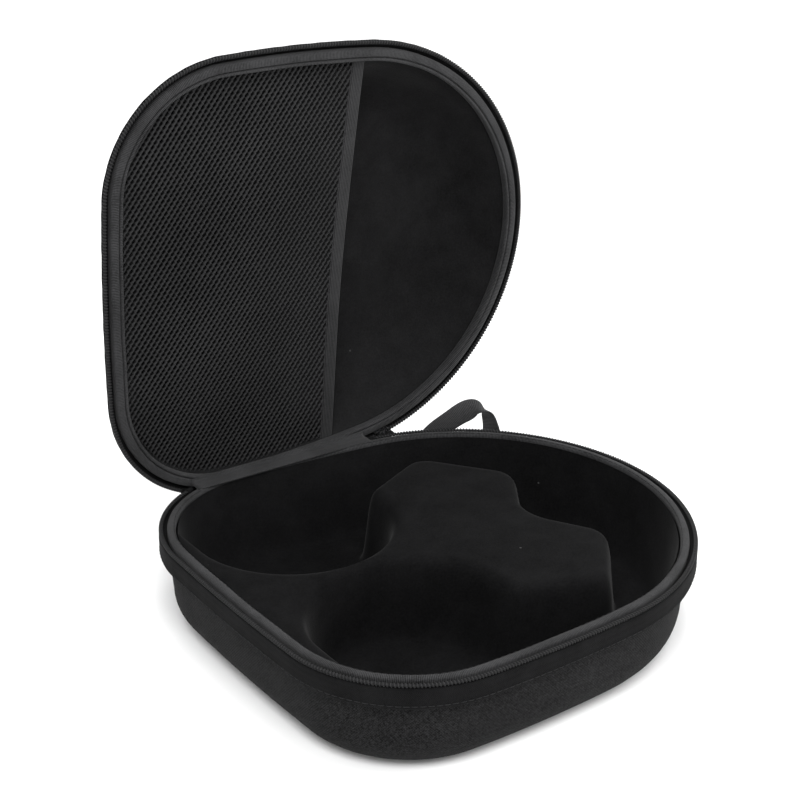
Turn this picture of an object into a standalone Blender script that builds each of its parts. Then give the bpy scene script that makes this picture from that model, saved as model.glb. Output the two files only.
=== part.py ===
"""Hard clamshell headphone case with a zip, a moulded tray, a mesh pocket and a strap.

The case is modelled in metres with +Z up. The origin is on the underside, under the middle of the
base. The ear-cup end is at -X and the headband end at +X. The lid hinges along the +Y side, and is
shown standing open. Each half is drawn as rings that follow one plan outline, the zip line: a ring's
offset is measured outwards from that line, and its height from the parting plane.
"""

import bmesh
import bpy
from math import cos, pi, radians, sin, tan
from mathutils import Matrix, Vector

MM = 0.001

# Plan outline: half of it, from the middle of the ear-cup end round to the headband end
START_X = -104.7 * MM
SIDE_RADIUS, SIDE_SWEEP = 1070 * MM, 2.4
CORNER_RADIUS, CORNER_SWEEP = 54.4 * MM, 87.0
BACK_RADIUS, BACK_SWEEP = 550 * MM, 7.5

# Base and lid
BASE_DEPTH = 45 * MM
SHELL_WALL = 2.0 * MM
SHELL_OFFSET = -2.2 * MM
SHELL_STEP = 12.0 * MM
BOTTOM_ROUND = 17 * MM
WALL_TOP = -0.75 * MM
WALL_DRAFT = 0.09
GAP = 0.3 * MM
EDGE_Z = 1.3 * MM

# Hinge and the lid's resting angle
HINGE_Y = 93.4 * MM
HINGE_DROP = 3.33 * MM
LID_OPEN = radians(88)

# Tray
TRAY_TOP = -3.6 * MM
TRAY_INSIDE = -5.9 * MM
TRAY_FLOOR = 40.5 * MM
ISLAND_DROP = 3.4 * MM
ISLAND_SHIFT_Y = 3.2 * MM
RECESS_RADIUS = 42.6 * MM
RECESS_X = -46.6 * MM
RECESS_Y = 45.7 * MM

# Zip
ZIP_LEFT_ANGLE = 111.2
TAPE_THICK = 1.1 * MM
COIL_IN, COIL_OUT = 0.2 * MM, 2.2 * MM
STOP_LENGTH = 3.0 * MM
SLIDER_LENGTH = 11 * MM
SLIDER_ANGLE = 77.0

# Pocket
POCKET_LINE_FREE = Vector((17.5, -86.0)) * MM
POCKET_LINE_HINGE = Vector((4.3, 84.0)) * MM
POCKET_BAND_WIDTH = 6.0 * MM
POCKET_EDGE = -8.2 * MM

# Strap
STRAP_ANGLE = 56.0
STRAP_SPAN = 36 * MM
STRAP_WIDTH = 9.5 * MM
STRAP_THICK = 1.4 * MM
STRAP_PIVOT = 2.6 * MM
STRAP_FOOT = -13.5 * MM

# The loop's middle line (along the wall, up, out of it; millimetres), and which way its width lies
STRAP_PATH = [
    ((17.5, -13.3, 2.4), (1.0, 0.0, 0.0)),
    ((16.3, -9.5, 4.3), (0.85, 0.5, 0.0)),
    ((11.6, -4.4, 6.3), (0.62, 0.78, 0.0)),
    ((4.0, 1.5, 7.2), (0.57, 0.82, 0.0)),
    ((-1.5, 4.9, 8.0), (0.5, 0.7, 0.35)),
    ((-7.0, 6.8, 9.0), (0.3, 0.3, 0.85)),
    ((-11.5, 4.3, 8.8), (0.6, 0.1, 0.8)),
    ((-13.7, -2.0, 7.6), (0.7, 0.0, 0.7)),
    ((-14.0, -8.0, 5.3), (0.87, 0.0, 0.5)),
    ((-13.0, -13.3, 2.9), (1.0, 0.0, 0.0)),
]

COLOURS = {
    "shell": ((0.036, 0.036, 0.037), 0.85, 0.0),
    "velvet": ((0.009, 0.009, 0.0095), 1.0, 0.0),
    "ribbon": ((0.045, 0.045, 0.047), 0.7, 0.0),
    "tape": ((0.033, 0.033, 0.034), 0.8, 0.0),
    "coil": ((0.03, 0.03, 0.031), 0.45, 0.0),
    "mesh": ((0.03, 0.03, 0.031), 0.75, 0.0),
    "webbing": ((0.05, 0.05, 0.052), 0.8, 0.0),
    "metal": ((0.05, 0.05, 0.052), 0.35, 1.0),
}


class Arc:
    """One stretch of the plan outline, run anticlockwise from start to stop in degrees."""

    def __init__(self, centre, radius, start, stop, segments):
        self.centre = Vector(centre)
        self.radius = radius
        self.start = start
        self.stop = stop
        self.segments = segments

    def stations(self, last=False):
        count = self.segments + (1 if last else 0)
        step = (self.stop - self.start) / self.segments
        return [(self.centre, self.radius, radians(self.start + step * i)) for i in range(count)]


def unit(angle):
    return Vector((cos(radians(angle)), sin(radians(angle))))


def plan_arcs():
    """The tangent arcs of the outline; the end radius closes it on the X axis."""
    side_centre = Vector((START_X + SIDE_RADIUS, 0))
    side_top = 180 - SIDE_SWEEP
    corner_centre = side_centre + (SIDE_RADIUS - CORNER_RADIUS) * unit(side_top)
    corner_top = side_top - CORNER_SWEEP
    back_centre = corner_centre + (CORNER_RADIUS - BACK_RADIUS) * unit(corner_top)
    back_end = corner_top - BACK_SWEEP
    join = back_centre + BACK_RADIUS * unit(back_end)
    end_radius = join.y / sin(radians(back_end))
    end_centre = join - end_radius * unit(back_end)
    return side_centre, corner_centre, back_centre, end_centre, end_radius, side_top, corner_top, back_end


(SIDE_C, CORNER_C, BACK_C, END_C, END_RADIUS, SIDE_TOP, CORNER_TOP, BACK_END) = plan_arcs()


def mirrored(centre):
    return Vector((centre.x, -centre.y))


def zip_run():
    """Stations of the zip, from its left end round the front to its right end."""
    arcs = [
        Arc(CORNER_C, CORNER_RADIUS, ZIP_LEFT_ANGLE, SIDE_TOP, 9),
        Arc(SIDE_C, SIDE_RADIUS, SIDE_TOP, 360 - SIDE_TOP, 4),
        Arc(mirrored(CORNER_C), CORNER_RADIUS, 360 - SIDE_TOP, 360 - CORNER_TOP, 12),
        Arc(mirrored(BACK_C), BACK_RADIUS, 360 - CORNER_TOP, 360 - BACK_END, 5),
        Arc(END_C, END_RADIUS, 360 - BACK_END, 360 + BACK_END, 24),
    ]
    found = [station for arc in arcs[:-1] for station in arc.stations()]
    return found + arcs[-1].stations(last=True)


def hinge_run():
    """Stations of the hinge stretch, from the zip's right end back to its left end."""
    arcs = [
        Arc(BACK_C, BACK_RADIUS, 360 + BACK_END, 360 + CORNER_TOP, 5),
        Arc(CORNER_C, CORNER_RADIUS, 360 + CORNER_TOP, 360 + ZIP_LEFT_ANGLE, 3),
    ]
    return arcs[0].stations() + arcs[1].stations(last=True)


ZIP_RUN = zip_run()
HINGE_RUN = hinge_run()
LOOP = ZIP_RUN + HINGE_RUN[1:-1]


def place(station, offset, height):
    """A point at an offset outside the zip line, and a height above the parting plane."""
    centre, radius, angle = station
    reach = radius + offset
    return Vector((centre.x + reach * cos(angle), centre.y + reach * sin(angle), BASE_DEPTH + height))


def ring(offset, height, stations=None):
    return [place(station, offset, height) for station in (stations or LOOP)]


def material(name):
    found = bpy.data.materials.get(name)
    if found:
        return found
    colour, roughness, metallic = COLOURS[name]
    made = bpy.data.materials.new(name)
    made.use_nodes = True
    shader = made.node_tree.nodes["Principled BSDF"]
    shader.inputs["Base Color"].default_value = (*colour, 1)
    shader.inputs["Roughness"].default_value = roughness
    shader.inputs["Metallic"].default_value = metallic
    made.diffuse_color = (*colour, 1)
    return made


class Pivot:
    """An empty on a joint's axis, and where that axis lies while the lid is closed."""

    def __init__(self, name, home, turned=Matrix.Identity(4), parent=None):
        self.home = home
        self.empty = bpy.data.objects.new(name, None)
        self.empty.empty_display_size = 0.01
        bpy.context.collection.objects.link(self.empty)
        before = parent.home.inverted() if parent else Matrix.Identity(4)
        self.empty.parent = parent.empty if parent else None
        self.empty.matrix_basis = before @ home @ turned


def make_object(name, mesh_builder, finish, pivot=None):
    """Turn a bmesh into a named object, with its origin on its pivot if it has one."""
    bmesh.ops.recalc_face_normals(mesh_builder, faces=mesh_builder.faces)
    mesh = bpy.data.meshes.new(name)
    mesh_builder.to_mesh(mesh)
    mesh_builder.free()
    made = bpy.data.objects.new(name, mesh)
    bpy.context.collection.objects.link(made)
    mesh.materials.append(material(finish))
    mesh.shade_smooth()
    mesh.set_sharp_from_angle(angle=radians(35))
    if pivot is not None:
        mesh.transform(pivot.home.inverted())
        made.parent = pivot.empty
    return made


def loft(rows):
    """Skin closed rings of points and cap the first and the last."""
    built = bmesh.new()
    lines = [[built.verts.new(point) for point in row] for row in rows]
    for low, high in zip(lines, lines[1:]):
        for i in range(len(low)):
            j = (i + 1) % len(low)
            built.faces.new((low[i], low[j], high[j], high[i]))
    built.faces.new(lines[0])
    built.faces.new(lines[-1])
    return built


def sweep(profile, stations, closed=False):
    """Run a closed profile of (offset, height) points along stations."""
    sections = [[place(station, offset, height) for offset, height in profile] for station in stations]
    if not closed:
        return loft(sections)
    built = bmesh.new()
    lines = [[built.verts.new(point) for point in section] for section in sections]
    for k, here in enumerate(lines):
        there = lines[(k + 1) % len(lines)]
        for i in range(len(here)):
            j = (i + 1) % len(here)
            built.faces.new((here[i], here[j], there[j], there[i]))
    return built


def prism(points, low, high):
    """A flat outline between two heights above the parting plane."""
    return loft([[Vector((p[0], p[1], BASE_DEPTH + z)) for p in points] for z in (low, high)])


def scaled(rows):
    return [(offset * MM, height * MM) for offset, height in rows]


def cut(target, cutter, operation="DIFFERENCE"):
    """Take a hidden cutter from an object, or keep what they share."""
    modifier = target.modifiers.new(operation.title(), "BOOLEAN")
    modifier.object = cutter
    modifier.operation = operation
    modifier.solver = "EXACT"
    cutter.hide_render = True
    cutter.display_type = "WIRE"


# ---------------------------------------------------------------- base

def wall_offset(depth):
    """The exposed shell wall's outer offset at a depth below the parting plane."""
    return WALL_TOP - WALL_DRAFT * depth


def base_side(inset):
    """The base's side, from the bottom edge to the rim, moved in by an inset."""
    floor = BASE_DEPTH - inset
    radius = BOTTOM_ROUND - inset
    start = floor - radius
    rows = []
    for step in range(6):
        turn = radians(90 * (1 - step / 5))
        rows.append((wall_offset(start) - inset - radius * (1 - cos(turn)), -start - radius * sin(turn)))
    rows.append((wall_offset(SHELL_STEP) - inset, -SHELL_STEP))
    rows.append((SHELL_OFFSET - inset, -SHELL_STEP + 0.5 * MM))
    rows.append((SHELL_OFFSET - inset, -EDGE_Z))
    return rows


def base_shell():
    rows = base_side(0) + base_side(SHELL_WALL)[::-1]
    return make_object("base_shell", loft([ring(*row) for row in rows]), "shell")


def rounded_polygon(corners, spacing=0.0075):
    """An outline of points (x, y, radius), with each corner turned into an arc of its radius."""
    points = []
    for i, (x, y, radius) in enumerate(corners):
        here = Vector((x, y))
        before = (Vector(corners[i - 1][:2]) - here).normalized()
        after = (Vector(corners[(i + 1) % len(corners)][:2]) - here).normalized()
        if radius == 0:
            points.append(here)
            continue
        half = before.angle(after) / 2
        reach = radius / tan(half)
        centre = here + (before + after).normalized() * (radius / sin(half))
        first = here + before * reach - centre
        turn = pi - 2 * half
        sign = 1 if first.cross(here + after * reach - centre) > 0 else -1
        count = max(3, round(turn * radius / spacing))
        for k in range(count + 1):
            points.append(centre + Matrix.Rotation(sign * turn * k / count, 2) @ first)
    return [p for i, p in enumerate(points) if (p - points[i - 1]).length > 0.05 * MM]


def offset_outline(points, distance):
    """Move an outline's points out along their normals (the outline runs clockwise)."""
    moved = []
    for i, here in enumerate(points):
        along = (points[(i + 1) % len(points)] - points[i - 1]).normalized()
        moved.append(here + Vector((-along.y, along.x)) * distance)
    return moved


def island_outline():
    """The raised T between the recesses, with the ledge that it grows from at the ear-cup end."""
    left, right = RECESS_X - RECESS_RADIUS, RECESS_X + RECESS_RADIUS
    near = RECESS_Y - RECESS_RADIUS
    half = [
        (-130 * MM, 140 * MM, 0),
        (left, 140 * MM, 0),
        (left, near, RECESS_RADIUS),
        (right, near, RECESS_RADIUS),
        (right, 52 * MM, 9 * MM),
        (33.5 * MM, 69.5 * MM, 12 * MM),
        (62.5 * MM, 33 * MM, 12 * MM),
    ]
    waist = [(42 * MM, 0, 22 * MM)]
    corners = half + waist + [(x, -y, radius) for x, y, radius in half[::-1]]
    return rounded_polygon([(x, y + ISLAND_SHIFT_Y, radius) for x, y, radius in corners])


def island_solid(name, grow, low, top):
    """The island, wider at its foot than at its top edge."""
    outline = island_outline()
    rows = [
        (4.0 * MM, -50 * MM),
        (3.4 * MM, low),
        (0.9 * MM, -10 * MM),
        (0.0, top - 1.4 * MM),
        (-1.2 * MM, top),
    ]
    loops = []
    for spread, height in rows:
        moved = offset_outline(outline, spread + grow)
        loops.append([Vector((p.x, p.y, BASE_DEPTH + height)) for p in moved])
    return make_object(name, loft(loops), "velvet")


def tray_space(name, low):
    """The open inside of the tray's wall, down to its floor."""
    edge = TRAY_INSIDE
    rows = [
        (edge - 11.5 * MM, low),
        (edge - 7.0 * MM, low + 1.5 * MM),
        (edge - 4.0 * MM, low + 5.5 * MM),
        (edge - 1.0 * MM, -14 * MM),
        (edge, -4 * MM),
        (edge, 8 * MM),
    ]
    return make_object(name, loft([ring(*row) for row in rows]), "velvet")


def base_tray():
    """The flocked tray: walls, floor and a hollow island, open underneath."""
    inset = SHELL_WALL + GAP
    outside = base_side(inset)[:-1] + [(SHELL_OFFSET - inset, TRAY_TOP)]
    body = make_object("base_tray", loft([ring(*row) for row in outside]), "velvet")
    space = tray_space("cutter_tray_space", -TRAY_FLOOR)
    island = island_solid("cutter_island", 0, -TRAY_FLOOR, -ISLAND_DROP)
    cut(space, island)
    cut(body, space)
    under = island_solid("cutter_under_island", -2.6 * MM, -TRAY_FLOOR, -ISLAND_DROP - 2.6 * MM)
    limit = make_object("cutter_limit", loft([ring(-20 * MM, -50 * MM), ring(-11.5 * MM, 5 * MM)]), "velvet")
    cut(under, limit, "INTERSECT")
    cut(body, under)
    limit.hide_render = True
    return body


def mirrored_profile(rows, side):
    return [(offset, side * height) for offset, height in scaled(rows)]


BASE_BINDING_ROWS = [
    (-1.4, 3.9), (-1.4, 1.2), (-2.0, 0.4), (-4.4, 0.4), (-5.0, 1.2),
    (-5.0, 3.2), (-4.5, 3.2), (-4.5, 1.0), (-1.9, 1.0), (-1.9, 3.9),
]
LID_BINDING_ROWS = [
    (-1.4, 3.9), (-1.4, 1.2), (-2.2, 0.4), (-6.0, 0.4), (-6.7, 1.2),
    (-6.7, 3.6), (-6.2, 3.6), (-6.2, 1.0), (-1.9, 1.0), (-1.9, 3.9),
]
COIL_ROWS = [(0.2, 0.5), (2.2, 0.5), (2.2, 2.3), (0.2, 2.3)]
BASE_TAPE_ROWS = [(0.9, 2.6), (2.0, 2.6), (2.0, 11.2), (0.9, 11.5)]
BASE_WELT_ROWS = [(-1.9, 4.4), (0.6, 4.4), (0.6, 11.2), (-1.9, 11.0)]
LID_TAPE_ROWS = [(0.9, 2.6), (2.0, 2.6), (-3.6, 9.3), (-4.7, 9.3)]
LID_WELT_ROWS = [(-1.9, 4.6), (-1.1, 4.6), (-4.75, 9.0), (-5.5, 9.0)]
BASE_LEAF_ROWS = [(-1.9, 4.4), (-1.1, 4.4), (-0.5, 11.5), (-0.8, 15.5), (-1.8, 15.5), (-1.5, 11.5)]
LID_LEAF_ROWS = [(-1.9, 4.6), (-1.1, 4.6), (-5.9, 10.6), (-6.7, 10.6)]


def trimmed(stations, start, stop):
    """Stations with their two end ones moved in by an arc length at each end."""
    centre, radius, angle = stations[0]
    first = (centre, radius, angle + start / radius)
    centre, radius, angle = stations[-1]
    last = (centre, radius, angle - stop / radius)
    inner = [s for s in stations[1:-1]]
    while inner and inner[0][:2] == first[:2] and inner[0][2] <= first[2] + 0.002:
        inner.pop(0)
    while inner and inner[-1][:2] == last[:2] and inner[-1][2] >= last[2] - 0.002:
        inner.pop()
    return [first] + inner + [last]


def stop_run(at_left):
    """The short stretch of the zip line that an end stop covers."""
    centre, radius, angle = ZIP_RUN[0] if at_left else ZIP_RUN[-1]
    sign = 1 if at_left else -1
    return [(centre, radius, angle), (centre, radius, angle + sign * STOP_LENGTH / radius)]


def zip_half(prefix, side, tape_rows, welt_rows, pivot=None):
    """One side of the zip: its tape, its coil, the welt behind it and a stop at each end."""
    coil_run = trimmed(ZIP_RUN, STOP_LENGTH + GAP, STOP_LENGTH + GAP)
    pieces = [
        ("tape", sweep(mirrored_profile(tape_rows, side), ZIP_RUN), "tape"),
        ("coil", sweep(mirrored_profile(COIL_ROWS, side), coil_run), "coil"),
        ("welt", sweep(mirrored_profile(welt_rows, side), ZIP_RUN), "tape"),
        ("stop_left", sweep(mirrored_profile(COIL_ROWS, side), stop_run(True)), "tape"),
        ("stop_right", sweep(mirrored_profile(COIL_ROWS, side), stop_run(False)), "tape"),
    ]
    for name, built, finish in pieces:
        make_object(f"{prefix}_{name}", built, finish, pivot)


def base_half():
    base_shell()
    base_tray()
    binding = sweep(mirrored_profile(BASE_BINDING_ROWS, -1), LOOP, closed=True)
    make_object("base_binding", binding, "ribbon")
    zip_half("base", -1, BASE_TAPE_ROWS, BASE_WELT_ROWS)
    leaf_run = trimmed(HINGE_RUN, 1.5 * MM, 1.5 * MM)
    make_object("base_hinge_leaf", sweep(mirrored_profile(BASE_LEAF_ROWS, -1), leaf_run), "ribbon")


# ---------------------------------------------------------------- lid

LID_OUTSIDE = [
    (-2.2, 1.3), (-2.2, 4.2), (-6.4, 9.6), (-10.4, 15.0),
    (-15.0, 20.6), (-21.0, 25.6), (-30.0, 29.6), (-42.0, 31.5),
]
LID_INSIDE = [
    (-4.2, 1.3), (-4.2, 4.4), (-8.0, 8.4), (-12.0, 13.8),
    (-16.5, 19.2), (-22.1, 23.9), (-30.6, 27.7), (-42.0, 29.5),
]
LINING_OUTSIDE = [
    (-4.5, 1.3), (-4.5, 4.2), (-8.3, 8.2), (-12.3, 13.6),
    (-16.8, 19.0), (-22.3, 23.6), (-30.7, 27.4), (-42.0, 29.2),
]
LINING_INSIDE = [
    (-5.9, 1.3), (-5.9, 4.0), (-9.4, 7.5), (-13.4, 12.8),
    (-17.8, 18.1), (-23.0, 22.5), (-31.1, 26.1), (-42.0, 27.8),
]


def dome(name, outside, inside, finish, pivot):
    rows = scaled(outside[::-1]) + scaled(inside)
    return make_object(name, loft([ring(*row) for row in rows]), finish, pivot)


def clipped(points, start, stop, shift):
    """The part of an outline on the left of a line, the line first moved right by a shift."""
    along = (stop - start).normalized()
    across = Vector((along.y, -along.x))
    depth = [(Vector(p[:2]) - start).dot(across) - shift for p in points]
    kept = []
    for i, point in enumerate(points):
        before, reach = depth[i - 1], depth[i]
        if (before <= 0) != (reach <= 0):
            kept.append(Vector(points[i - 1]).lerp(Vector(point), before / (before - reach)))
        if reach <= 0:
            kept.append(Vector(point))
    return kept


def pocket(pivot):
    """The mesh over the ear-cup half of the lid, and the elastic band along its free edge."""
    edge = [point.to_2d() for point in ring(POCKET_EDGE, 0)]
    free, hinge = POCKET_LINE_FREE, POCKET_LINE_HINGE
    half = POCKET_BAND_WIDTH / 2
    mesh_plan = clipped(edge, free, hinge, -half - GAP)
    make_object("pocket_mesh", prism(mesh_plan, 4.7 * MM, 5.5 * MM), "mesh", pivot)
    band_plan = clipped(clipped(edge, free, hinge, half), hinge, free, half)
    make_object("pocket_band", prism(band_plan, 4.4 * MM, 5.8 * MM), "ribbon", pivot)


def lid_half(pivot):
    dome("lid_shell", LID_OUTSIDE, LID_INSIDE, "shell", pivot)
    dome("lid_lining", LINING_OUTSIDE, LINING_INSIDE, "velvet", pivot)
    binding = sweep(mirrored_profile(LID_BINDING_ROWS, 1), LOOP, closed=True)
    make_object("lid_binding", binding, "ribbon", pivot)
    zip_half("lid", 1, LID_TAPE_ROWS, LID_WELT_ROWS, pivot)
    leaf_run = trimmed(HINGE_RUN, 1.5 * MM, 1.5 * MM)
    make_object("lid_hinge_leaf", sweep(mirrored_profile(LID_LEAF_ROWS, 1), leaf_run), "ribbon", pivot)
    pocket(pivot)


# ---------------------------------------------------------------- zip slider

def outline_solid(outline, low, high, frame):
    """A flat outline (millimetres) between two heights, in the axes of a frame."""
    rows = [[frame @ (Vector((x, y, z)) * MM) for x, y in outline] for z in (low, high)]
    return loft(rows)


def slider_frame(station):
    """A slider's own axes with the lid closed: x along the zip, y out of it, z up."""
    turn = Matrix.Rotation(station[2] - pi / 2, 4, "Z")
    return Matrix.Translation(place(station, 0, 0)) @ turn


def slider(name, station, pivot):
    """A slider: an outer plate, a web in the parting gap, an inner flange and a crown."""
    frame = slider_frame(station)
    half = SLIDER_LENGTH / 2 / MM
    plate = [(-half, 2.5), (half, 2.5), (half - 1.2, 3.7), (1.2 - half, 3.7)]
    web = [(-2.5, -0.85), (2.5, -0.85), (2.5, 3.0), (-2.5, 3.0)]
    flange = [(-3.5, -0.85), (3.5, -0.85), (3.5, -0.35), (-3.5, -0.35)]
    crown = [
        (-4.1, 3.2), (-4.1, 5.6), (-3.1, 6.6), (3.1, 6.6), (4.1, 5.6), (4.1, 3.2),
        (3.2, 3.2), (3.2, 5.2), (2.7, 5.7), (-2.7, 5.7), (-3.2, 5.2), (-3.2, 3.2),
    ]
    body = make_object(name, outline_solid(plate, -1.5, 7.0, frame), "metal", pivot)
    pieces = {"web": (web, -0.25, 0.25), "flange": (flange, -0.25, 3.0), "crown": (crown, 2.8, 4.2)}
    for part, (outline, low, high) in pieces.items():
        solid = outline_solid(outline, low, high, frame)
        cut(body, make_object(f"cutter_{name}_{part}", solid, "metal", pivot), "UNION")


def pull(name, home, pivot):
    """A flat pull hanging from a slider's crown by the bar across its top window."""
    across = home @ Matrix.Rotation(pi / 2, 4, "Y")
    tab = [
        (-2.2, -0.6), (2.2, -0.6), (2.5, 0.0), (2.5, 6.0), (3.4, 11.0), (3.4, 22.5), (2.0, 25.0),
        (-2.0, 25.0), (-3.4, 22.5), (-3.4, 11.0), (-2.5, 6.0), (-2.5, 0.0),
    ]
    body = make_object(name, outline_solid(tab, -0.6, 0.6, across), "metal", pivot)
    windows = {
        "top": [(-1.5, 0.6), (1.5, 0.6), (1.5, 5.2), (-1.5, 5.2)],
        "low": [(-1.7, 15.5), (1.7, 15.5), (1.7, 21.0), (-1.7, 21.0)],
    }
    for part, outline in windows.items():
        cut(body, make_object(f"cutter_{name}_{part}", outline_solid(outline, -2, 2, across), "metal", pivot))


def zip_slider(lid_pivot):
    """The slider, which turns about the centre of the headband end's arc, and its pull."""
    station = (END_C, END_RADIUS, radians(SLIDER_ANGLE))
    axis = Matrix.Translation(Vector((END_C.x, END_C.y, BASE_DEPTH)))
    slider_pivot = Pivot("pivot_slider", axis, parent=lid_pivot)
    slider("zip_slider", station, slider_pivot)
    home = Matrix.Translation(slider_frame(station) @ (Vector((0, 4.7, 3.5)) * MM))
    pull("zip_pull", home, Pivot("pivot_pull", home, parent=slider_pivot))


# ---------------------------------------------------------------- strap

def smooth_path(points, count):
    """Points along a Catmull-Rom curve through the given ones, count to a stretch."""
    ends = [2 * points[0] - points[1]] + points + [2 * points[-1] - points[-2]]
    found = []
    for a, b, c, d in zip(ends, ends[1:], ends[2:], ends[3:]):
        for t in (k / count for k in range(count)):
            bend = (2 * a - 5 * b + 4 * c - d) * t ** 2 + (3 * b - a - 3 * c + d) * t ** 3
            found.append((2 * b + (c - a) * t + bend) / 2)
    return found + [points[-1]]


def strap():
    """A webbing loop that lies along the wall, folds over at its top and comes down again."""
    middle = radians(STRAP_ANGLE)
    reach = STRAP_SPAN / 2 / END_RADIUS
    patch = [(-1.6, -12.4), (2.2, -12.4), (2.2, -18.0), (1.2, -20.0), (-2.2, -20.0)]
    wide = [(END_C, END_RADIUS, middle + reach * k / 3 * 1.3) for k in range(-3, 4)]
    make_object("strap_patch", sweep(scaled(patch), wide), "ribbon")
    root = place((END_C, END_RADIUS, middle), 0, 0)
    axes = Matrix(((-sin(middle), 0, cos(middle)), (cos(middle), 0, sin(middle)), (0, 1, 0)))
    line = smooth_path([Vector(point) * MM for point, width in STRAP_PATH], 3)
    widths = smooth_path([Vector(width) for point, width in STRAP_PATH], 3)
    sections = []
    for k, (point, width) in enumerate(zip(line, widths)):
        tangent = (line[min(k + 1, len(line) - 1)] - line[max(k - 1, 0)]).normalized()
        across = (width - tangent * width.dot(tangent)).normalized() * (STRAP_WIDTH / 2)
        lift = tangent.cross(across).normalized() * (STRAP_THICK / 2)
        corners = (point + across + lift, point - across + lift, point - across - lift, point + across - lift)
        sections.append([root + axes @ corner for corner in corners])
    home = Matrix.Translation(place((END_C, END_RADIUS, middle), STRAP_PIVOT, STRAP_FOOT))
    home = home @ Matrix.Rotation(middle - pi / 2, 4, "Z")
    make_object("strap_loop", loft(sections), "webbing", Pivot("pivot_strap", home))


# ---------------------------------------------------------------- assembly

def build():
    for old in list(bpy.data.objects):
        bpy.data.objects.remove(old)
    base_half()
    axis = Matrix.Translation(Vector((0, HINGE_Y, BASE_DEPTH - HINGE_DROP)))
    lid_pivot = Pivot("pivot_lid", axis, Matrix.Rotation(-LID_OPEN, 4, "X"))
    lid_half(lid_pivot)
    zip_slider(lid_pivot)
    strap()


build()
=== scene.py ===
"""Headphone case: cloth, flock, net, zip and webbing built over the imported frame, and lit for the camera."""

from math import cos, pi, radians, sin, tan

import bpy
import numpy as np
from mathutils import Matrix, Vector


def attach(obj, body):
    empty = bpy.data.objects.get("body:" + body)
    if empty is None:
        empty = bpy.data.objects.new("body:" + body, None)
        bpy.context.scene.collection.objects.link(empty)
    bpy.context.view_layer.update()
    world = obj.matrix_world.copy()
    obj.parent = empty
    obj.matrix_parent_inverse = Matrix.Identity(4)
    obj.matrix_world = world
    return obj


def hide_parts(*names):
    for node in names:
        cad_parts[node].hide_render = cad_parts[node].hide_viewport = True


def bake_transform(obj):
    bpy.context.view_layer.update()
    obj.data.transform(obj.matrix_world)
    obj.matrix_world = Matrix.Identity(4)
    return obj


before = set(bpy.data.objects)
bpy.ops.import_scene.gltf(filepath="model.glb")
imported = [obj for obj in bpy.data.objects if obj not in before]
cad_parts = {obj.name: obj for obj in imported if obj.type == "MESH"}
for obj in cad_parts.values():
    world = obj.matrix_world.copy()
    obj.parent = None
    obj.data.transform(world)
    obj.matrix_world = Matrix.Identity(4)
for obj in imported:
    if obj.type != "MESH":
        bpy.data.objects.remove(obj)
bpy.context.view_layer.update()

MM = 0.001
RIM = 45.0
HINGE_DROP = 3.33
HINGE = np.array([0.0, 93.4, RIM - HINGE_DROP])
OPEN = radians(88)
rng = np.random.default_rng(7)

# ------------------------------------------------------------------ plan outline (millimetres)

START_X = -104.7
SIDE_R, SIDE_SWEEP = 1070.0, 2.4
CORNER_R, CORNER_SWEEP = 54.4, 87.0
BACK_R, BACK_SWEEP = 550.0, 7.5


def unit(degrees_):
    return np.array([cos(radians(degrees_)), sin(radians(degrees_))])


SIDE_TOP = 180 - SIDE_SWEEP
CORNER_TOP = SIDE_TOP - CORNER_SWEEP
BACK_END = CORNER_TOP - BACK_SWEEP
SIDE_C = np.array([START_X + SIDE_R, 0.0])
CORNER_C = SIDE_C + (SIDE_R - CORNER_R) * unit(SIDE_TOP)
BACK_C = CORNER_C + (CORNER_R - BACK_R) * unit(CORNER_TOP)
JOIN = BACK_C + BACK_R * unit(BACK_END)
END_R = JOIN[1] / sin(radians(BACK_END))
END_C = JOIN - END_R * unit(BACK_END)
FLIP = np.array([1.0, -1.0])
ZIP_LEFT = 111.2

ZIP_ARCS = [
    (CORNER_C, CORNER_R, ZIP_LEFT, SIDE_TOP),
    (SIDE_C, SIDE_R, SIDE_TOP, 360 - SIDE_TOP),
    (CORNER_C * FLIP, CORNER_R, 360 - SIDE_TOP, 360 - CORNER_TOP),
    (BACK_C * FLIP, BACK_R, 360 - CORNER_TOP, 360 - BACK_END),
    (END_C, END_R, 360 - BACK_END, 360 + BACK_END),
]
HINGE_ARCS = [
    (BACK_C, BACK_R, 360 + BACK_END, 360 + CORNER_TOP),
    (CORNER_C, CORNER_R, 360 + CORNER_TOP, 360 + ZIP_LEFT),
]


class Run:
    """Stations along a chain of arcs: point and outward normal on the zip line, with arc length."""

    def __init__(self, arcs, step, closed=False, start=0.0, stop=0.0):
        lengths = [radius * radians(b - a) for _, radius, a, b in arcs]
        total = sum(lengths) - start - stop
        count = max(2, int(round(total / step)))
        self.closed = closed
        self.length = total
        s = start + np.arange(count if closed else count + 1) * total / count
        self.s = s - start
        point, normal = np.zeros((len(s), 2)), np.zeros((len(s), 2))
        edge = np.concatenate([[0], np.cumsum(lengths)])
        for k, (centre, radius, a, b) in enumerate(arcs):
            last = k == len(arcs) - 1
            pick = (s >= edge[k]) & ((s < edge[k + 1]) | last)
            turn = radians(a) + (s[pick] - edge[k]) / radius
            normal[pick] = np.stack([np.cos(turn), np.sin(turn)], 1)
            point[pick] = centre + radius * normal[pick]
        self.point, self.normal = point, normal

    def place(self, n, z):
        """Millimetre points at offsets n and heights z above the parting plane."""
        n = np.broadcast_to(n, self.s.shape)
        z = np.broadcast_to(z, self.s.shape)
        flat = self.point + self.normal * n[:, None]
        return np.concatenate([flat, (RIM + z)[:, None]], 1)


def full(step):
    return Run(ZIP_ARCS + HINGE_ARCS, step, closed=True)


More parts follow.
